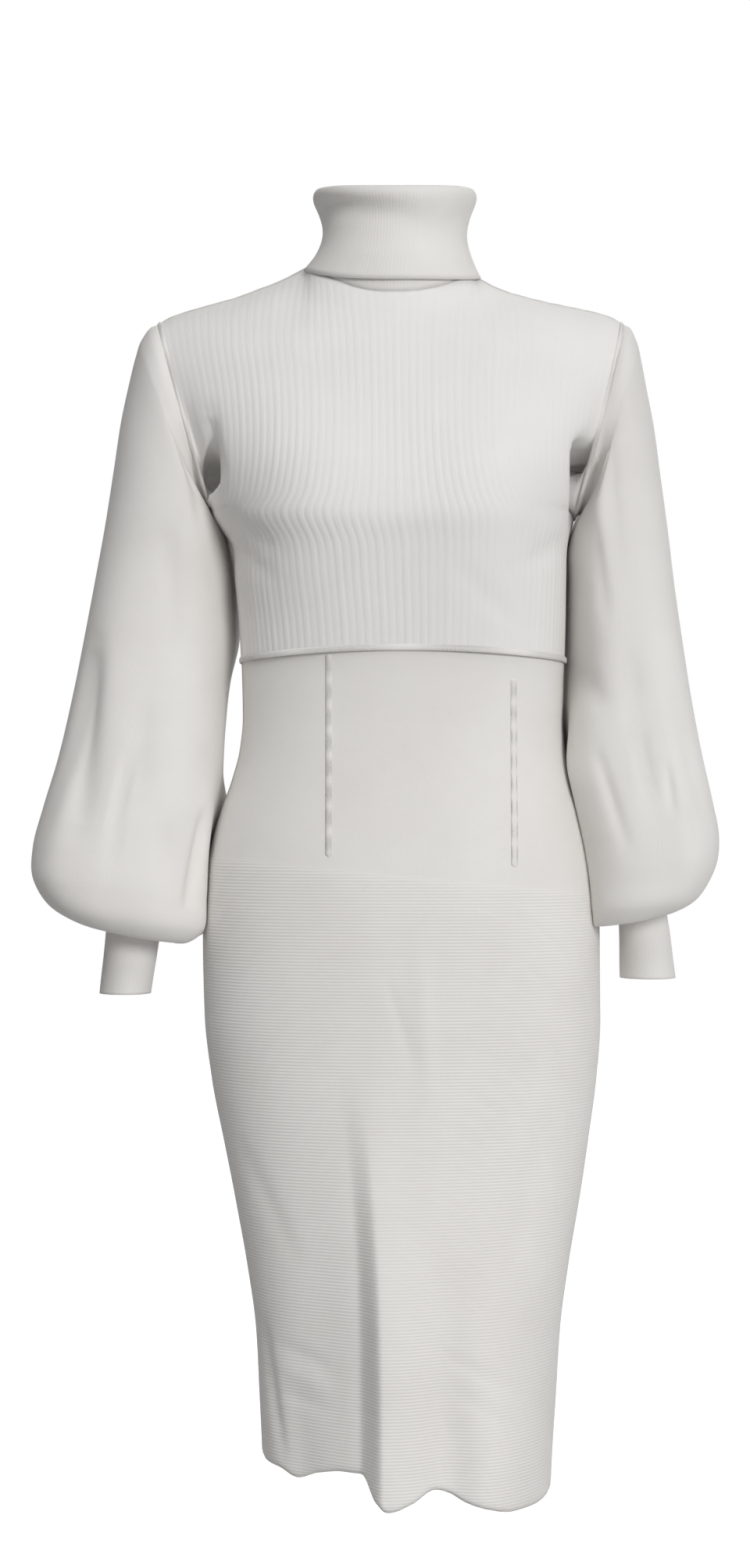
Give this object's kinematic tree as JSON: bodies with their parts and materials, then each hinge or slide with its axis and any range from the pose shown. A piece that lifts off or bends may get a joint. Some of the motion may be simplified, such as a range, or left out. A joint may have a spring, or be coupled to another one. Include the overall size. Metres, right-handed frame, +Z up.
{
  "type": "sweater dress",
  "caption": "Ivory rib-knit sweater dress with a folded turtleneck, lantern sleeves, a raised waist seam and a knee-length pencil skirt, hollow and open as worn.",
  "frame": {"origin": "base of the neck at shoulder level, in the middle of the neck opening, where the wearer carries the dress", "axes": "+Z up along the dress, -Y towards its front, +X to the viewer's right as the front is seen"},
  "size_m": [0.567, 0.2472, 1.0855],
  "materials": {
    "ribbed_knit": "soft matt rib-knit yarn, ivory",
    "smooth_knit": "soft matt fine-gauge knit, ivory",
    "fine_rib_knit": "soft matt fine rib knit, ivory",
    "linked_seam": "raised linked knit seam, ivory"
  },
  "bodies": {
    "root": {"bodice_front": "ribbed_knit", "bodice_back": "ribbed_knit", "collar": "fine_rib_knit", "sleeve_left": "smooth_knit", "sleeve_right": "smooth_knit", "cuff_left": "fine_rib_knit", "cuff_right": "fine_rib_knit", "skirt_front": "smooth_knit", "skirt_back": "smooth_knit", "waist_ridge": "linked_seam", "front_ridge_left": "linked_seam", "front_ridge_right": "linked_seam"}
  },
  "joints": []
}
